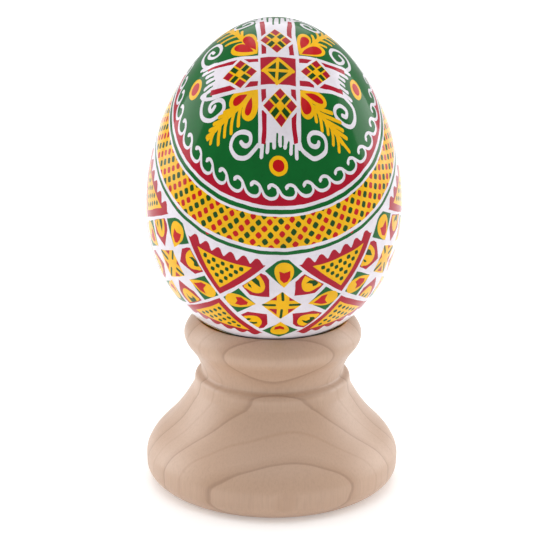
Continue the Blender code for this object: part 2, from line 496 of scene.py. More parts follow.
def checked_diamond(corners):
    """Crimson corners and green checks round the yellow middle of a diamond, outlined white."""
    left, top, right, bottom = (Vector(corner) for corner in corners)
    cells = [(CRIMSON, u, v, 0.31, 0.31) for u in (0.01, 0.68) for v in (0.01, 0.68)]
    cells += [(DARK_GREEN, 0.4, v, 0.2, 0.32) for v in (0.02, 0.66)]
    cells += [(DARK_GREEN, u, 0.4, 0.32, 0.2) for u in (0.02, 0.66)]
    shapes = [(WHITE, [scaled(corners, 1.24)]), (YELLOW, [corners])]
    for dye, u, v, wide, high in cells:
        cell = []
        for along, down in ((u, v), (u + wide, v), (u + wide, v + high), (u, v + high)):
            place = left + (top - left) * along + (bottom - left) * down
            place += (right - top - bottom + left) * along * down
            cell.append((place.x, place.y))
        shapes.append((dye, [cell]))
    return shapes


def sprig(stem, upper, lower):
    """A wheat ear: a stem with barbs on both sides."""
    start, end = Vector(stem[0]), Vector(stem[1])
    shapes = [(YELLOW, [stroke(stem, STEM_LINE)])]
    for barbs in (upper, lower):
        for index, tip in enumerate(barbs):
            foot = start.lerp(end, 0.12 + 0.88 * index / len(barbs))
            middle = foot.lerp(Vector(tip), 0.5) + (end - start) * 0.02
            shapes.append((YELLOW, [stroke([foot[:], middle[:], tip], BARB_LINE, 3)]))
    return shapes


def net_cells():
    """Small cushions of dye in the net, green and red by turns."""
    (across_1, down_1), (across_2, down_2) = NET_STEPS
    shapes = []
    for first in range(-NET_REACH[0], NET_REACH[0]):
        for second in range(-NET_REACH[1], NET_REACH[1]):
            turn = NET_CELL[0] + first * across_1 + second * across_2
            out = NET_CELL[1] + first * down_1 + second * down_2
            if not -180 <= turn < 180 or not NET_BAND[0] - 1 < out < NET_BAND[1] + 0.9:
                continue
            dye = RED if second % 2 else DARK_GREEN
            outline = oval(turn, out, 1.5, 1.2, 12, 1.35)
            shapes.append((dye, [round_pole(outline)]))
    return shapes


def wave_border():
    """Green field with a scalloped edge and a white hooked wave along it."""
    edge, hooks = [], []
    for wave in range(WAVES):
        turn = wave * 360 / WAVES - 180
        edge += moved([(3, 53.2), (5, 54.2), (7.5, 54.9), (10.5, 54.8)], turn, 0)
        line = curve_through(moved(WAVE_HOOK, turn, 0), 3)
        hooks.append((WHITE, [stroke(round_pole(line), WAVE_LINE, 1)]))
        hooks.append((WHITE, [round_pole(oval(WAVE_HEAD[0] + turn, WAVE_HEAD[1], 1.1, 0.75, 10))]))
    return [(GREEN, [round_pole(edge)])] + hooks


def centre_square():
    corners = [(-8.6, 2.8), (8.3, 2.4), (8.8, 14.9), (-8.1, 15.2)]
    diamond = [(-8.1, 8.9), (0, 2.8), (8.2, 8.6), (0.1, 15.4)]
    return [
        (CRIMSON, [corners]),
        (YELLOW, [diamond]),
        (DARK_GREEN, [scaled(diamond, 0.72)]),
        (YELLOW, [stroke([(-0.2, 3.4), (-0.4, 14.8)], 1.4, 1)]),
        (YELLOW, [stroke([(-7.4, 9.1), (7.4, 8.9)], 1.3, 1)]),
    ]


def cap_pattern():
    """The medallion and the rings round it, in the order that they are laid on."""
    shapes = [(GREEN, [ring_line(CAP_EDGE + 0.4)])]
    shapes += [(WHITE, [ring_line(RING_B[0], EDGE_POINTS // 2)])]
    shapes += [(YELLOW, [ring_line(NET_BAND[1], EDGE_POINTS // 2)])]
    shapes += net_cells()
    shapes += [(WHITE, ring(NET_BAND[1], RING_B[0]))]
    shapes += [(WHITE, [ring_line(NET_BAND[0], EDGE_POINTS // 2)])]
    shapes += [(GREEN, ring(*RING_A))]
    shapes += [(CRIMSON, [ring_line(FIELD_EDGE, EDGE_POINTS // 2)])]
    shapes += wave_border()
    shapes += [(WHITE, [arm]) for arm in ARMS]
    shapes += [(WHITE, [stroke(tine, COMB_LINE, 1)]) for tine in COMB_TINES]
    shapes += [(GREEN, [stroke(gap, COMB_GAP, 1)]) for gap in COMB_GAPS]
    shapes += [(WHITE, [stroke(line, SPIRAL_LINE)]) for line in SPIRALS]
    for sprig_places in SPRIGS:
        shapes += sprig(*sprig_places)
    for tip, end, width, *_ in PETALS:
        shapes.append((YELLOW, [leaf(tip, end, width)]))
    for *_, tip, end, width in PETALS:
        shapes.append((RED, [leaf(tip, end, width)]))
    for x, y, half_width, half_height in DOTS:
        shapes.append((YELLOW, [oval(x, y, half_width, half_height)]))
        shapes.append((RED, [oval(x, y, half_width * 0.62, half_height * 0.6)]))
    shapes += [(CRIMSON, [strip(places, STRIP_LINE)]) for places in EDGE_STRIPS]
    for bar in (LEFT_BAR, RIGHT_BAR, TOP_BAR, LOWER_BAR):
        shapes.append((WHITE, [stroke(bar, BAR_LINE)]))
    for corners in DIAMONDS:
        shapes += checked_diamond(corners)
    return shapes + centre_square()


# Belt, in (turn, distance from the medallion's middle) places of the repeat over STAR_TURN

KITES = (
    [(-2.9, 80.4), (2.2, 76.6), (4.4, 75.9), (7.2, 76), (13, 80.9), (4.8, 86.7)],
    [(-19.6, 95.8), (-13.3, 89.4), (-6, 95.4), (-13.3, 101.9)],
    [(29.8, 95.8), (22.9, 89.8), (15.7, 95.6), (23.3, 101.9)],
    [(-2.9, 111.9), (4.4, 117.6), (12.2, 111.9), (4.4, 105.2)],
)
DROPS = (
    ((5.3, 87.2), (5.2, 77), 8.2), ((-5.9, 95.6), (-18.7, 95.6), 6.6),
    ((15.4, 95.8), (28.5, 95.7), 6.6), ((4.4, 104.8), (4.5, 115), 7.8),
)
HEARTS = (
    [(3.1, 80.4), (5, 81), (7.8, 80.2), (7.7, 82.8), (6.6, 84.6), (5.3, 85.1), (3.6, 83.7)],
    [(-14.2, 93.8), (-12, 93.4), (-9, 95.2), (-9.4, 96.6), (-12, 97.6), (-14.4, 97.4),
     (-13.4, 95.6)],
    [(23.8, 93.5), (21.4, 93.6), (17.6, 96), (21, 97.8), (23.9, 98.1), (22.6, 96)],
    [(2.1, 110.8), (2.4, 108.6), (4.3, 107.6), (6, 108.9), (6.3, 110.8), (4.4, 110)],
)
PENTAGONS = (
    [(-4.4, 81.4), (-2.2, 82.2), (-0.8, 84), (-0.6, 91.3), (-8.4, 91.4), (-12, 88.1)],
    [(14, 82.2), (12.2, 83), (9.9, 85), (9.6, 91), (18.2, 91.4), (22, 88.3)],
    [(-9.1, 100.3), (-1.3, 100.3), (-0.8, 106.6), (-2.2, 109.6), (-4, 110.5), (-11.9, 102.8)],
    [(9.2, 100.3), (17.9, 100.5), (21.9, 103.1), (14.6, 110.8), (11.2, 109), (9.6, 106.8)],
)
PENTAGON_EYES = (
    [(-5, 81.8), (-3.2, 84), (-2.2, 86.6), (-2.9, 88.9), (-4.8, 90.1), (-7.6, 90.1),
     (-10, 89), (-11.7, 87.8)],
    [(14.1, 82.6), (12.5, 84.8), (12.2, 87.4), (13.4, 89.7), (16, 90.4), (19, 89.3),
     (21.4, 88.1), (17.2, 84.8)],
    [(-11.3, 103.4), (-8.6, 102.2), (-5.4, 102), (-3.6, 103.6), (-3, 106.2), (-3.9, 108.8),
     (-5.2, 110)],
    [(14.6, 110), (11.8, 107.9), (11, 105), (12.4, 102.4), (15.6, 101.7), (19.2, 102.6),
     (21.1, 103.8)],
)
PENTAGON_FORKS = (
    [(-6.4, 83.4), (-5, 84.6), (-4.3, 87.4), (-6.6, 86.1), (-8.3, 84.8)],
    [(-9.8, 86.1), (-8.3, 87.1), (-7.8, 88.3), (-9.4, 87.5)],
    [(14.2, 86.2), (16, 85.1), (18.2, 85.6), (19.7, 87.1), (18.6, 87.9), (17.2, 88.1),
     (16.9, 86.8), (15.6, 86.3)],
    [(-9.8, 104.7), (-8.6, 104), (-7.7, 104.2), (-8.1, 105.2), (-9, 105.7)],
    [(-8.3, 106.3), (-6.4, 106.2), (-5.2, 105.8), (-5.2, 106.9), (-6.6, 107.6), (-7.9, 107.1)],
    [(13.2, 104.7), (15.2, 105.9), (16.8, 105.4), (16.5, 103.9), (18.2, 104.2), (19, 105.3),
     (17.2, 107.5), (16, 108.2), (14.3, 106.8)],
)
CENTRE_DIAMOND = [(-3.7, 95.4), (4.6, 89), (12.9, 95.6), (4.4, 102.9)]
CENTRE_PATCHES = (
    [(-0.4, 92.9), (2.5, 90.8), (2.5, 92.9)], [(7.6, 91.5), (10, 93.3), (7.6, 93.3)],
    [(-0.8, 97.3), (2.6, 97.3), (2.6, 100.3)], [(7.3, 97.4), (10.3, 97.4), (7.3, 100.1)],
)
CENTRE_STREAKS = (
    ((4.7, 89.7), (5, 92.7)), ((4.6, 97.8), (4.5, 102)), ((-2.9, 95.4), (1.7, 95.3)),
    ((8, 95.4), (11.9, 95.6)),
)
TRIANGLE_TURN = -21.2
TRIANGLE_DOWN = (78.3, 94.8, 18.6)
TRIANGLE_UP = (114.3, 97, 18.6)
TOOTH_PITCH = 5.9
TOOTH_RISE = 2.4


def toothed_triangle(level, apex, half_width, seeds):
    """A crimson triangle with teeth along its flat side and a seeded yellow middle."""
    side = 1 if apex > level else -1
    x = TRIANGLE_TURN
    shapes = [(CRIMSON, [[(x - half_width, level), (x + half_width, level), (x, apex)]])]
    for tooth in range(-3, 3):
        foot = x + tooth * TOOTH_PITCH + 0.2
        shapes.append((CRIMSON, [[
            (foot, level + side * 0.1), (foot + 1.9, level - side * TOOTH_RISE * 0.86),
            (foot + 2.9, level - side * TOOTH_RISE), (foot + 4, level - side * TOOTH_RISE * 0.8),
            (foot + TOOTH_PITCH - 0.3, level + side * 0.1),
        ]]))
    top, tip = level + side * 1.5, apex - side * 3
    shapes.append((YELLOW, [[(x - 12.8, top), (x + 12.8, top), (x - 0.3, tip)]]))
    for row, count in enumerate((5, 4, 3, 2, 1)):
        y = level + side * seeds[row]
        for column in range(count):
            seed = oval(x + (column - (count - 1) / 2) * 4.15, y, 0.95, 0.85, 8, 3)
            shapes.append((DARK_GREEN, [seed]))
    return shapes


def belt_pattern():
    """One repeat of the belt, in the order that it is laid on."""
    shapes = []
    shapes += toothed_triangle(*TRIANGLE_DOWN, (3, 4.7, 6.6, 8.5, 10.5))
    shapes += toothed_triangle(*TRIANGLE_UP, (3.2, 5.1, 7.2, 9.3, 11.4))
    shapes += [(GREEN, [kite]) for kite in KITES]
    shapes += [(YELLOW, [leaf(*drop, 14)]) for drop in DROPS]
    shapes += [(RED, [heart]) for heart in HEARTS]
    shapes += [(CRIMSON, [outline]) for outline in PENTAGONS]
    shapes += [
        (YELLOW, [curve_through([*scaled(eye, 0.93), scaled(eye, 0.93)[0]], 2)[:-1]])
        for eye in PENTAGON_EYES
    ]
    shapes += [(DARK_GREEN, [fork]) for fork in PENTAGON_FORKS]
    shapes += [(YELLOW, [CENTRE_DIAMOND])]
    shapes += [(CRIMSON, [patch]) for patch in CENTRE_PATCHES]
    shapes += [(DARK_GREEN, [stroke(streak, STREAK_LINE, 1)]) for streak in CENTRE_STREAKS]
    return shapes


def belt_repeat():
    """The repeat with its neighbours' edges and the rings above and below it."""
    pitch = 360 / BELT_REPEATS
    shapes = []
    for neighbour in (-1, 0, 1):
        for dye, loops in belt_pattern():
            shapes.append((dye, [moved(loop, neighbour * pitch, 0) for loop in loops]))
    low, high = STAR_TURN - pitch, STAR_TURN + pitch
    for near, far in ((CAP_EDGE - 1, RING_B[1]), (BELT_END - RING_C_WIDTH, BELT_END + 1)):
        shapes.append((GREEN, [[(low, near), (high, near), (high, far), (low, far)]]))
    return shapes


# Cutting the shell's surface along the outlines


def inside(loops, across, down):
    """Which places lie inside a shape, whose outlines may cross themselves."""
    winding = np.zeros(len(across), int)
    for loop in loops:
        start = np.array(loop)
        end = np.roll(start, -1, axis=0)
        for (ax, ay), (bx, by) in zip(start, end):
            side = (bx - ax) * (down - ay) - (across - ax) * (by - ay)
            winding += (ay <= down) & (by > down) & (side > 0)
            winding -= (ay > down) & (by <= down) & (side < 0)
    return winding != 0


def divided(loop, longest):
    """An outline with its long sides divided, so that they bend with the shell."""
    line = []
    for start, end in zip(loop, loop[1:] + loop[:1]):
        parts = max(1, math.ceil(math.dist(start, end) / longest))
        for part in range(parts):
            share = part / parts
            line.append(tuple(a + (b - a) * share for a, b in zip(start, end)))
    return line


def cut_and_dye(shapes, border, holes, facet):
    """Triangles inside a border, cut along every outline: places, triangles, dye of each."""
    places = [tuple(place) for place in border]
    edges = [(index, (index + 1) % len(border)) for index in range(len(border))]
    reach = np.array(border)
    low, high = reach.min(axis=0), reach.max(axis=0)
    for loop in [loop for _, loops in shapes for loop in loops] + holes:
        outline = np.array(loop)
        if (outline.max(axis=0) < low - 1).any() or (outline.min(axis=0) > high + 1).any():
            continue
        loop = divided(loop, facet)
        first = len(places)
        places += loop
        edges += [(first + i, first + (i + 1) % len(loop)) for i in range(len(loop))]
    across = np.arange(low[0] + facet / 2, high[0], facet)
    down = np.arange(low[1] + facet / 2, high[1], facet)
    grid = np.array([(x + facet / 4 * (row % 2), y) for row, y in enumerate(down) for x in across])
    grid = grid[inside([scaled(border, GRID_INSET)], grid[:, 0], grid[:, 1])]
    for hole in holes:
        grid = grid[~inside([scaled(hole, HOLE_MARGIN)], grid[:, 0], grid[:, 1])]
    places += [tuple(place) for place in grid]
    cut = delaunay_2d_cdt([Vector(place) for place in places], edges, [], 0, CUT_TOLERANCE)
    points = np.array([place[:] for place in cut[0]])
    triangles = np.array(cut[2])
    middle = points[triangles].mean(axis=1)
    kept = inside([border], middle[:, 0], middle[:, 1])
    for hole in holes:
        kept &= ~inside([hole], middle[:, 0], middle[:, 1])
    triangles, middle = triangles[kept], middle[kept]
    dyes = np.full(len(triangles), WHITE)
    for dye, loops in shapes:
        outline = np.array([place for loop in loops for place in loop])
        lowest, highest = outline.min(axis=0), outline.max(axis=0)
        near = np.flatnonzero(((middle > lowest) & (middle < highest)).all(axis=1))
        dyes[near[inside(loops, middle[near, 0], middle[near, 1])]] = dye
    return points, triangles, dyes


# The egg's shape


def egg_radius(sizes, height):
    """Radius of the outer surface at heights above mid-length, pointed end up."""
    across = sizes.length ** 2 - 4 * height ** 2
    drop = sizes.widest_drop
    along = sizes.length ** 2 + 8 * drop * height + 4 * drop ** 2
    return sizes.width / 2 * np.sqrt(np.maximum(across, 0.0) / along)


def egg_place(sizes, turn):
    """Outer surface at an angle from the pointed end: radius, height above mid-length."""
    height = sizes.length / 2 * math.cos(turn)
    return Vector((float(egg_radius(sizes, height)), height))


def egg_outward(sizes, turn):
    """Outward direction of the outer surface at an angle from the pointed end."""
    along = egg_place(sizes, turn + TURN_STEP) - egg_place(sizes, turn - TURN_STEP)
    return Vector((-along.y, along.x)).normalized()


def blunt_turn(sizes, radius):
    """Angle from the pointed end at which the blunt half has a given radius."""
    low, high = math.acos(-2 * sizes.widest_drop / sizes.length), math.pi
    for _ in range(60):
        middle = (low + high) / 2
        if egg_place(sizes, middle).x > radius:
            low = middle
        else:
            high = middle
    return (low + high) / 2


def pattern_axes(sizes):
    """Pattern's pole, the way to its front and the way to its right."""
    tilt, lean = sizes.pattern_tilt, sizes.pattern_lean
    pole = Vector(
        (math.sin(lean), -math.sin(tilt) * math.cos(lean), math.cos(tilt) * math.cos(lean))
    )
    front = Vector((0, -1, 0))
    front = (front - pole * front.dot(pole)).normalized()
    right = front.cross(pole)
    return pole, front, right if right.x > 0 else -right


def on_sphere(sizes, turn, out):
    """Unit vectors of (turn, distance from the pattern's pole) places in degrees."""
    pole, front, right = (np.array(axis) for axis in pattern_axes(sizes))
    turn, out = np.radians(turn)[:, None], np.radians(out)[:, None]
    return np.cos(out) * pole + np.sin(out) * (np.cos(turn) * front + np.sin(turn) * right)


def wandered(sizes, directions, still):
    """Directions strayed a little, smoothly, as a hand strays; none within the still turn."""
    noise.seed_set(STRAY_SEED)
    strayed = []
    for direction in directions:
        place = Vector(direction)
        blunt = math.acos(max(-1.0, min(1.0, -place.z)))
        fade = min(1.0, max(0.0, (blunt - still) / STRAY_FADE))
        stray = noise.noise_vector(place * BROAD_STRAY)
        stray += noise.noise_vector(place * FINE_STRAY) * 0.5
        strayed.append((place + stray * sizes.wander * fade).normalized())
    return np.array(strayed)


def drawn_out(sizes, directions, centre):
    """Places on the egg and outward normals, from directions on the sphere."""
    height = sizes.length / 2 * directions[:, 2]
    radius = egg_radius(sizes, height)
    flat = np.maximum(np.hypot(directions[:, 0], directions[:, 1]), 1e-9)
    places = np.column_stack([
        directions[:, 0] / flat * radius,
        directions[:, 1] / flat * radius,
        height + centre,
    ])
    turn = np.arccos(np.clip(directions[:, 2], -1, 1))
    levels = [sizes.length / 2 * np.cos(turn + step) for step in (-TURN_STEP, TURN_STEP)]
    before, after = (np.column_stack([egg_radius(sizes, level), level]) for level in levels)
    along = after - before
    along[(turn < 1e-3)] = (1, 0)
    normals = np.column_stack([
        -along[:, 1] * directions[:, 0] / flat,
        -along[:, 1] * directions[:, 1] / flat,
        along[:, 0],
    ])
    return places, normals / np.linalg.norm(normals, axis=1)[:, None]


def hole_in_back(sizes, hole_turn):
    """Edge of the drain hole, laid out flat round the back medallion's pole, in degrees."""
    pole, front, right = pattern_axes(sizes)
    outline = []
    for index in range(HOLE_POINTS):
        swing = math.tau * index / HOLE_POINTS
        direction = Vector((
            math.sin(hole_turn) * math.cos(swing),
            math.sin(hole_turn) * math.sin(swing),
            math.cos(hole_turn),
        ))
        out = 180 - math.degrees(direction.angle(pole))
        turn = math.degrees(math.atan2(direction.dot(right), direction.dot(front)))
        outline += round_pole([(turn, out)])
    return outline


def polar(places):
    """(turn, distance) of places laid out flat round a pole."""
    return np.degrees(np.arctan2(places[:, 0], places[:, 1])), np.hypot(*places.T)


def shell_patches(sizes, hole_turn):
    """The shell's outer surface in patches: directions, map places, triangles, dyes."""
    facet = math.degrees(sizes.facet)
    patches = []

    points, triangles, dyes = cut_and_dye(cap_pattern(), ring_line(CAP_EDGE), [], facet)
    turn, out = polar(points)
    flat = (points + FRONT_ON_MAP) / MAP_WIDTH
    patches.append((on_sphere(sizes, turn, out), flat, triangles, dyes))

    share = (180 - BELT_END) / CAP_EDGE
    back = [
        (dye, [[(x * share, y * share) for x, y in loop] for loop in loops])
        for dye, loops in cap_pattern()
    ]
    hole = hole_in_back(sizes, hole_turn)
    edge = ring_line(180 - BELT_END)
    points, triangles, dyes = cut_and_dye(back, edge, [hole], facet)
    turn, out = polar(points)
    flat = (points + BACK_ON_MAP) / MAP_WIDTH
    patches.append((on_sphere(sizes, turn, 180 - out), flat, triangles, dyes))

    pitch = 360 / BELT_REPEATS
    steps = EDGE_POINTS // BELT_REPEATS
    turns = [STAR_TURN + pitch * (index / steps - 0.5) for index in range(steps + 1)]
    sides = [
        CAP_EDGE + (BELT_END - CAP_EDGE) * index / BELT_SIDE_STEPS
        for index in range(1, BELT_SIDE_STEPS)
    ]
    border = [(x, CAP_EDGE) for x in turns] + [(turns[-1], y) for y in sides]
    border += [(x, BELT_END) for x in reversed(turns)]
    border += [(turns[0], y) for y in reversed(sides)]
    points, triangles, dyes = cut_and_dye(belt_repeat(), border, [], facet)
    for repeat in range(BELT_REPEATS):
        directions = on_sphere(sizes, points[:, 0] + repeat * pitch, points[:, 1])
        row, column = divmod(repeat, BELT_MAP_COLUMNS)
        corner = (
            BELT_ON_MAP[0] - turns[0] + column * BELT_MAP_PITCH[0],
            BELT_ON_MAP[1] + row * BELT_MAP_PITCH[1] - CAP_EDGE,
        )
        patches.append((directions, (points + corner) / MAP_WIDTH, triangles, dyes))
    return patches


# Modelling


def deselect_all():
    if bpy.context.object and bpy.context.object.mode != "OBJECT":
        bpy.ops.object.mode_set(mode="OBJECT")
    bpy.ops.object.select_all(action="DESELECT")


def spun(name, outline, steps):
    """A piece turned round Z.  Its outline starts and ends on the axis or at open edges."""
    deselect_all()
    bpy.ops.mesh.primitive_plane_add(size=0.001, location=(outline[0].x, 0, outline[0].y))
    piece = bpy.context.object
    piece.name = piece.data.name = name
    bpy.ops.object.transform_apply(location=True, rotation=True, scale=True)
    bpy.ops.object.mode_set(mode="EDIT")
    bpy.ops.mesh.select_all(action="SELECT")
    bpy.ops.mesh.merge(type="CENTER")
    for start, end in zip(outline, outline[1:]):
        step = (end.x - start.x, 0, end.y - start.y)
        bpy.ops.mesh.extrude_vertices_move(TRANSFORM_OT_translate={"value": step})
    bpy.ops.mesh.select_all(action="SELECT")
    bpy.ops.mesh.spin(steps=steps, angle=math.tau, center=(0, 0, 0), axis=(0, 0, 1))
    bpy.ops.mesh.select_all(action="SELECT")
    bpy.ops.mesh.remove_doubles(threshold=TURNED_WELD)
    bpy.ops.mesh.normals_make_consistent(inside=False)
    bpy.ops.object.mode_set(mode="OBJECT")
    return piece


def heading(degrees):
    return Vector((math.cos(math.radians(degrees)), math.sin(math.radians(degrees))))


def arc(start, start_heading, end, end_heading, lead=0.36, trail=0.36, steps=14):
    """Smooth curve between two profile places; headings in degrees from +X, towards +Z."""
    chord = (end - start).length
    leading = start + chord * lead * heading(start_heading)
    trailing = end - chord * trail * heading(end_heading)
    line = []
    for step in range(1, steps + 1):
        t = step / steps
        s = 1 - t
        near = s ** 3 * start + 3 * s * s * t * leading
        line.append(near + 3 * s * t * t * trailing + t ** 3 * end)
    return line


def seat_curve(egg, stand, steps=12):
    """The part of the dish that follows the egg, from its upper edge down, in the egg's frame."""
    upper = blunt_turn(egg, stand.seat_radius)
    lower = blunt_turn(egg, stand.seat_foot_radius)
    turns = [upper + (lower - upper) * step / steps for step in range(steps + 1)]
    return [egg_place(egg, t) + stand.seat_clearance * egg_outward(egg, t) for t in turns]


def egg_centre_height(egg, stand):
    """Height of the egg's mid-length, where it clears the rim's crest by the rim gap."""
    crest_radius = seat_curve(egg, stand)[0].x + stand.rim_width
    over_crest = egg_place(egg, blunt_turn(egg, crest_radius))
    return stand.height + stand.rim_gap - over_crest.y


def stand_outline(egg, stand):
    """Out from the middle of the dish, over the rim and down the outside to the underside."""
    lift = Vector((0, egg_centre_height(egg, stand)))
    seat = [place + lift for place in reversed(seat_curve(egg, stand))]
    dish = Vector((0, lift.y - egg.length / 2 - stand.dish_depth))
    crest = Vector((seat[-1].x + stand.rim_width, stand.height))
    outward = egg_outward(egg, blunt_turn(egg, stand.seat_radius))
    slope = math.degrees(math.atan2(outward.x, -outward.y))
    collar = Vector((crest.x + stand.collar_overhang, crest.y - stand.rim_slope_rise))
    throat = Vector((stand.throat_radius, collar.y - stand.collar_rise))
    neck = Vector((stand.neck_radius, throat.y - stand.throat_rise))
    bead = Vector((stand.bead_radius, neck.y - stand.neck_rise))
    crease = Vector((stand.crease_radius, bead.y - stand.bead_rise))
    bulge = Vector((stand.foot_bulge_radius, stand.foot_bulge_height))
    flare = Vector((bulge.x - stand.flare_inset, bulge.y + stand.foot_band_rise))
    foot = Vector((stand.foot_radius, 0))
    outline = [dish]
    outline += arc(dish, 0, seat[0], 50)
    outline += seat[1:]
    outline += arc(seat[-1], slope, crest, 0, steps=8)
    outline += arc(crest, -30, collar, -90, 0.1, 0.34)
    outline += arc(collar, -90, throat, -120)
    outline += arc(throat, -120, neck, -90, 0.22, 0.22, 10)
    outline += arc(neck, -90, bead, -90, 0.3, 0.5, 10)
    outline += arc(bead, -90, crease, -80, steps=8)
    outline += arc(crease, -62, flare, -68, 0.63, 0.31, 28)
    outline += arc(flare, -68, bulge, -90, steps=10)
    outline += arc(bulge, -90, foot, -160, 0.44, 0.12)
    outline += [Vector((foot.x * share, 0)) for share in (0.97, 0.75, 0.5, 0.25, 0)]
    return outline


# Finishes


def new_finish(name):
    """A node material and its shader, with a function that adds a node and sets its inputs."""
    finish = bpy.data.materials.new(name)
    finish.use_nodes = True
    tree = finish.node_tree
    shader = tree.nodes["Principled BSDF"]

    def node(kind, settings=None, **inputs):
        added = tree.nodes.new(kind)
        for key, value in (settings or {}).items():
            setattr(added, key, value)
        for key, value in inputs.items():
            socket = added.inputs[int(key[1:]) if key[1:].isdigit() else key.replace("_", " ")]
            if isinstance(value, bpy.types.NodeSocket):
                tree.links.new(value, socket)
            else:
                socket.default_value = value
        return added

    return finish, tree, shader, node


def ramp(node, source, stops):
    """Colour ramp node over (place, colour) stops."""
    added = node("ShaderNodeValToRGB", Fac=source)
    elements = added.color_ramp.elements
    while len(elements) < len(stops):
        elements.new(0.5)
    for element, (place, tone) in zip(elements, stops):
        element.position = place
        element.color = (*tone, 1)
    return added


def shade(node, source, dark, light):
    """Grey ramp between two (place, tone) stops."""
    return ramp(node, source, [(place, (tone,) * 3) for place, tone in (dark, light)])


def clouds(node, place, scale, detail, roughness=0.5):
    return node(
        "ShaderNodeTexNoise", Vector=place, Scale=scale, Detail=detail, Roughness=roughness
    )


def darkened(node, share, tone, shading):
    """A tone darkened by a share of a shading."""
    return node(
        "ShaderNodeMix", {"data_type": "RGBA", "blend_type": "MULTIPLY"},
        _0=share, _6=tone, _7=shading.outputs["Color"],
    ).outputs[2]


def varnished_dyes():
    """Dyed shell under clear gloss varnish: uneven dye, fine pores, a wavy varnish film."""
    finish, tree, shader, node = new_finish("varnished_dyes")
    place = node("ShaderNodeTexCoord").outputs["Object"]
    dye = node("ShaderNodeAttribute", {"attribute_name": "dye_colour"}).outputs["Color"]
    blot = clouds(node, place, 260, 3, 0.6)
    blot_tone = shade(node, blot.outputs["Fac"], (0.3, 0.8), (0.62, 1.0))
    fleck = clouds(node, place, 1900, 2, 0.7)
    fleck_tone = shade(node, fleck.outputs["Fac"], (0.28, 0.82), (0.4, 1.0))
    uneven = darkened(node, 0.7, dye, blot_tone)
    flecked = darkened(node, 0.6, uneven, fleck_tone)
    tree.links.new(flecked, shader.inputs["Base Color"])
    rough = node(
        "ShaderNodeMapRange", Value=blot.outputs["Fac"], From_Min=0.3, From_Max=0.7,
        To_Min=0.28, To_Max=0.42,
    )
    tree.links.new(rough.outputs["Result"], shader.inputs["Roughness"])
    pores = clouds(node, place, 2400, 2)
    film = clouds(node, place, 170, 1, 0.4)
    waves = node(
        "ShaderNodeBump", Height=film.outputs["Fac"], Strength=0.12, Distance=0.0004
    )
    grain = node(
        "ShaderNodeBump", Height=pores.outputs["Fac"], Strength=0.16, Distance=0.00005,
        Normal=waves.outputs["Normal"],
    )
    tree.links.new(grain.outputs["Normal"], shader.inputs["Normal"])
    tree.links.new(waves.outputs["Normal"], shader.inputs["Coat Normal"])
    shader.inputs["Specular IOR Level"].default_value = 0.04
    shader.inputs["Coat Weight"].default_value = 1.0
    shader.inputs["Coat Roughness"].default_value = 0.1
    shader.inputs["Coat IOR"].default_value = 1.24
    return finish


def turned_wood(wood):
    """Pale close-grained wood, with thin dark lines between its years, sanded smooth."""
    finish, tree, shader, node = new_finish("pale_turned_wood")
    place = node("ShaderNodeTexCoord").outputs["Object"]
    from_pith = node(
        "ShaderNodeMapping", Vector=place, Location=(0.004, -wood.pith_distance, 0),
        Scale=(1, 1, 0.07),
    )
    sway = clouds(node, place, 42, 2)
    swayed = node(
        "ShaderNodeMapRange", Value=sway.outputs["Fac"], From_Min=0.0, From_Max=1.0,
        To_Min=-0.0024, To_Max=0.0024,
    )
    out = node("ShaderNodeVectorMath", {"operation": "LENGTH"}, _0=from_pith.outputs["Vector"])
    grown = node("ShaderNodeMath", _0=out.outputs["Value"], _1=swayed.outputs["Result"])
    years = node(
        "ShaderNodeMath", {"operation": "DIVIDE"}, _0=grown.outputs[0], _1=wood.year_width
    )
    shifted = node("ShaderNodeMath", _0=years.outputs[0], _1=YEAR_SHIFT)
    year = node("ShaderNodeMath", {"operation": "FRACT"}, _0=shifted.outputs[0])
    pale, deep, line = tuple(wood.pale), tuple(wood.deep), tuple(wood.line)
    tone = ramp(node, year.outputs[0], [
        (0.0, pale), (0.4, pale), (0.44, deep), (0.48, pale), (0.8, pale), (0.93, deep),
        (0.955, line), (0.972, line), (0.985, pale),
    ])
    fibre_place = node("ShaderNodeMapping", Vector=place, Scale=(1, 1, 0.05))
    fibre = clouds(node, fibre_place.outputs["Vector"], 3600, 3, 0.65)
    fibre_tone = shade(node, fibre.outputs["Fac"], (0.3, 0.84), (0.56, 1.0))
    cloud = clouds(node, place, 75, 2)
    cloud_tone = shade(node, cloud.outputs["Fac"], (0.3, 0.92), (0.7, 1.0))
    fibrous = darkened(node, 0.55, tone.outputs["Color"], fibre_tone)
    clouded = darkened(node, 0.8, fibrous, cloud_tone)
    tree.links.new(clouded, shader.inputs["Base Color"])
    rough = node(
        "ShaderNodeMapRange", Value=fibre.outputs["Fac"], From_Min=0.25, From_Max=0.75,
        To_Min=0.5, To_Max=0.38,
    )
    tree.links.new(rough.outputs["Result"], shader.inputs["Roughness"])
    tool_place = node("ShaderNodeMapping", Vector=place, Scale=(0.04, 0.04, 1))
    tool = clouds(node, tool_place.outputs["Vector"], 1500, 2, 0.6)
    tool_marks = node(
        "ShaderNodeBump", Height=tool.outputs["Fac"], Strength=0.1, Distance=0.0001
    )
    grain = node(
        "ShaderNodeBump", Height=fibre.outputs["Fac"], Strength=0.12, Distance=0.0001,
        Normal=tool_marks.outputs["Normal"],
    )
    tree.links.new(grain.outputs["Normal"], shader.inputs["Normal"])
    shader.inputs["Specular IOR Level"].default_value = 0.7
    shader.inputs["Coat Weight"].default_value = 0.4
    shader.inputs["Coat Roughness"].default_value = 0.45
    return finish


# Operators


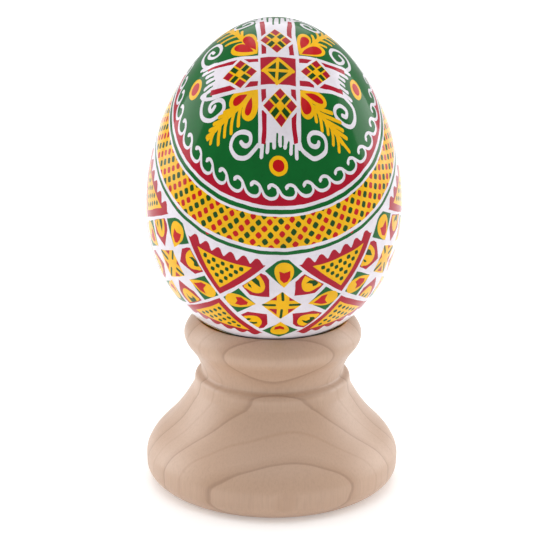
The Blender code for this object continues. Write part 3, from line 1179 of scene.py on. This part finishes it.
class PYSANKA_OT_turned_stand(bpy.types.Operator):
    """Turn the wooden stand"""

    bl_idname = "pysanka.turned_stand"
    bl_label = "Add Turned Stand"

    def execute(self, context):
        scene = context.scene
        outline = stand_outline(scene.pysanka_egg, scene.pysanka_stand)
        stand = spun("turned_stand_wood", outline, scene.pysanka_stand.round_steps)
        bpy.ops.object.shade_smooth_by_angle(angle=math.radians(18))
        stand.data.materials.clear()
        stand.data.materials.append(turned_wood(scene.pysanka_wood))
        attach(stand, "stand")
        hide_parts("turned_stand")
        return {"FINISHED"}


class PYSANKA_OT_eggshell(bpy.types.Operator):
    """Draw the pattern on the blown shell and give it its inner wall"""

    bl_idname = "pysanka.eggshell"
    bl_label = "Add Eggshell"

    def execute(self, context):
        scene = context.scene
        sizes = scene.pysanka_egg
        centre = egg_centre_height(sizes, scene.pysanka_stand)
        hole_turn = blunt_turn(sizes, sizes.drain_hole_radius)
        outer = self.outer_surface(sizes, centre, hole_turn)
        inner = self.inner_wall(sizes, centre, hole_turn)
        deselect_all()
        inner.select_set(True)
        outer.select_set(True)
        context.view_layer.objects.active = outer
        bpy.ops.object.join()
        bpy.ops.object.mode_set(mode="EDIT")
        bpy.ops.mesh.select_all(action="SELECT")
        bpy.ops.mesh.remove_doubles(threshold=SEAM_WELD)
        bpy.ops.mesh.normals_make_consistent(inside=False)
        bpy.ops.object.mode_set(mode="OBJECT")
        bpy.ops.object.shade_smooth()
        self.finish(outer, scene.pysanka_dyes, sizes, centre)
        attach(outer, "egg")
        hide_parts("eggshell")
        return {"FINISHED"}

    def outer_surface(self, sizes, centre, hole_turn):
        """The dyed outer surface, cut along the pattern's outlines."""
        places, corners, dyes, flat = [], [], [], []
        for directions, chart, triangles, tints in shell_patches(sizes, hole_turn):
            strayed = wandered(sizes, directions, math.pi - hole_turn + 1e-6)
            on_egg, _ = drawn_out(sizes, strayed, centre)
            corners.append(triangles + sum(len(patch) for patch in places))
            places.append(on_egg)
            dyes.append(tints)
            flat.append(chart[triangles].reshape(-1, 2))
        mesh = bpy.data.meshes.new("dyed_eggshell")
        mesh.from_pydata(np.vstack(places).tolist(), [], np.vstack(corners).tolist())
        mesh.attributes.new("dye", "INT", "FACE").data.foreach_set("value", np.hstack(dyes))
        chart = mesh.uv_layers.new(name="OFBake")
        chart.data.foreach_set("uv", np.vstack(flat).ravel())
        shell = bpy.data.objects.new("dyed_eggshell", mesh)
        bpy.context.scene.collection.objects.link(shell)
        return shell

    def inner_wall(self, sizes, centre, hole_turn):
        """The bare inner wall, from the drain hole's outer edge up to the pointed end."""
        lift = Vector((0, centre))
        outline = [egg_place(sizes, hole_turn) + lift]
        for step in range(WALL_RINGS + 1):
            turn = hole_turn * (1 - step / WALL_RINGS)
            wall = egg_place(sizes, turn) - sizes.wall * egg_outward(sizes, turn)
            outline.append(wall + lift)
        outline[-1] = Vector((0, centre + sizes.length / 2 - sizes.wall))
        wall = spun("inner_wall", outline, HOLE_POINTS)
        chart = wall.data.uv_layers.active or wall.data.uv_layers.new()
        chart.name = "OFBake"
        corner = np.zeros(len(wall.data.loops), np.int32)
        wall.data.loops.foreach_get("vertex_index", corner)
        places = np.array([vertex.co[:] for vertex in wall.data.vertices])
        height = (places[:, 2] - centre) / sizes.length + 0.5
        turn = np.arctan2(places[:, 0], places[:, 1])
        flat = np.column_stack([
            (WALL_ON_MAP[0] + WALL_MAP_RADIUS * (1 - height) * np.sin(turn)) / MAP_WIDTH,
            (WALL_ON_MAP[1] + WALL_MAP_RADIUS * (1 - height) * np.cos(turn)) / MAP_WIDTH,
        ])
        chart.data.foreach_set("uv", flat[corner].ravel())
        return wall

    def finish(self, shell, dyes, sizes, centre):
        """Tint each facet with its dye and give the shell the egg's own normals."""
        mesh = shell.data
        numbers = np.zeros(len(mesh.polygons), np.int32)
        mesh.attributes["dye"].data.foreach_get("value", numbers)
        tints = np.array([(*getattr(dyes, name), 1.0) for name in DYES])
        counts = np.zeros(len(mesh.polygons), np.int32)
        mesh.polygons.foreach_get("loop_total", counts)
        tinted = mesh.attributes.new("dye_colour", "FLOAT_COLOR", "CORNER")
        tinted.data.foreach_set("color", np.repeat(tints[numbers], counts, axis=0).ravel())
        places = np.zeros(len(mesh.vertices) * 3)
        mesh.vertices.foreach_get("co", places)
        places = places.reshape(-1, 3)
        height = (places[:, 2] - centre) / (sizes.length / 2)
        flat = np.maximum(np.hypot(places[:, 0], places[:, 1]), 1e-9)
        across = np.sqrt(np.maximum(1 - height ** 2, 0))
        directions = np.column_stack([
            places[:, 0] / flat * across, places[:, 1] / flat * across, np.clip(height, -1, 1)
        ])
        outer = np.zeros(len(mesh.vertices), bool)
        dyed = np.flatnonzero(np.repeat(numbers != BARE, counts))
        corner = np.zeros(len(mesh.loops), np.int32)
        mesh.loops.foreach_get("vertex_index", corner)
        outer[corner[dyed]] = True
        _, normals = drawn_out(sizes, directions, centre)
        normals[~outer] *= -1
        mesh.normals_split_custom_set_from_vertices(normals.tolist())
        mesh.materials.clear()
        mesh.materials.append(varnished_dyes())


class PYSANKA_OT_studio(bpy.types.Operator):
    """Set up the pale floor, the soft lights and the camera"""

    bl_idname = "pysanka.studio"
    bl_label = "Add Studio"

    def execute(self, context):
        studio = context.scene.pysanka_studio
        aim = Vector(studio.aim)
        deselect_all()
        bpy.ops.mesh.primitive_plane_add(size=FLOOR_WIDTH, location=(0, 0, -FLOOR_GAP))
        floor = bpy.context.object
        floor.name = "studio_floor"
        bpy.ops.object.transform_apply(location=True, rotation=True, scale=True)
        floor.data.materials.append(self.floor_finish(studio.floor_glow))
        for name, place, width, power in SOFTBOXES:
            self.softbox(name, place, width, getattr(studio, power), aim)
        self.sky(context.scene, studio.sky)
        self.camera(context.scene, studio, aim)
        context.scene.view_settings.view_transform = "Standard"
        return {"FINISHED"}

    def floor_finish(self, glow):
        finish, tree, shader, node = new_finish("pale_floor")
        place = node("ShaderNodeTexCoord").outputs["Object"]
        faint = clouds(node, place, 6, 1)
        tone = shade(node, faint.outputs["Fac"], (0.3, 0.9), (0.7, 0.92))
        tree.links.new(tone.outputs["Color"], shader.inputs["Base Color"])
        shader.inputs["Roughness"].default_value = 0.9
        shader.inputs["Specular IOR Level"].default_value = 0.1
        shader.inputs["Emission Color"].default_value = (1.0, 1.0, 1.0, 1.0)
        shader.inputs["Emission Strength"].default_value = glow
        return finish

    def softbox(self, name, place, width, power, aim):
        bpy.ops.object.light_add(type="AREA", location=place)
        box = bpy.context.object
        box.name = name
        box.data.shape = "SQUARE"
        box.data.size = width
        box.data.energy = power
        box.rotation_euler = (aim - Vector(place)).to_track_quat("-Z", "Y").to_euler()

    def sky(self, scene, strength):
        world = bpy.data.worlds.new("soft_sky")
        world.use_nodes = True
        background = world.node_tree.nodes["Background"]
        background.inputs["Color"].default_value = (1.0, 1.0, 1.0, 1)
        background.inputs["Strength"].default_value = strength
        scene.world = world

    def camera(self, scene, studio, aim):
        lens = bpy.data.cameras.new("studio_camera")
        lens.lens = studio.lens
        lens.sensor_width = 36.0
        lens.clip_start, lens.clip_end = 0.01, 10.0
        camera = bpy.data.objects.new("studio_camera", lens)
        scene.collection.objects.link(camera)
        back = Vector((0, -math.cos(studio.elevation), math.sin(studio.elevation)))
        tip = Matrix.Rotation(math.pi / 2 - studio.elevation, 4, "X")
        roll = Matrix.Rotation(studio.roll, 4, "Z")
        camera.matrix_world = Matrix.Translation(aim + back * studio.distance) @ tip @ roll
        scene.camera = camera


class PYSANKA_PT_panel(bpy.types.Panel):
    """Sizes, colours and pieces of the pysanka"""

    bl_label = "Pysanka"
    bl_idname = "PYSANKA_PT_panel"
    bl_space_type = "VIEW_3D"
    bl_region_type = "UI"
    bl_category = "Pysanka"

    def draw(self, context):
        for name, group in GROUPS.items():
            box = self.layout.box()
            settings = getattr(context.scene, name)
            for key in group.__annotations__:
                box.prop(settings, key)
        for operator in OPERATORS:
            self.layout.operator(operator.bl_idname)


GROUPS = {
    "pysanka_egg": PysankaEggSizes,
    "pysanka_stand": PysankaStandSizes,
    "pysanka_dyes": PysankaDyes,
    "pysanka_wood": PysankaWood,
    "pysanka_studio": PysankaStudio,
}
OPERATORS = (PYSANKA_OT_turned_stand, PYSANKA_OT_eggshell, PYSANKA_OT_studio)


def register():
    for name, group in GROUPS.items():
        bpy.utils.register_class(group)
        setattr(bpy.types.Scene, name, bpy.props.PointerProperty(type=group))
    for operator in OPERATORS:
        bpy.utils.register_class(operator)
    bpy.utils.register_class(PYSANKA_PT_panel)


def unregister():
    bpy.utils.unregister_class(PYSANKA_PT_panel)
    for operator in reversed(OPERATORS):
        bpy.utils.unregister_class(operator)
    for name, group in reversed(GROUPS.items()):
        delattr(bpy.types.Scene, name)
        bpy.utils.unregister_class(group)


def main():
    register()
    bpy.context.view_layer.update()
    bpy.ops.pysanka.turned_stand()
    bpy.ops.pysanka.eggshell()
    bpy.ops.pysanka.studio()


if __name__ == "__main__":
    main()
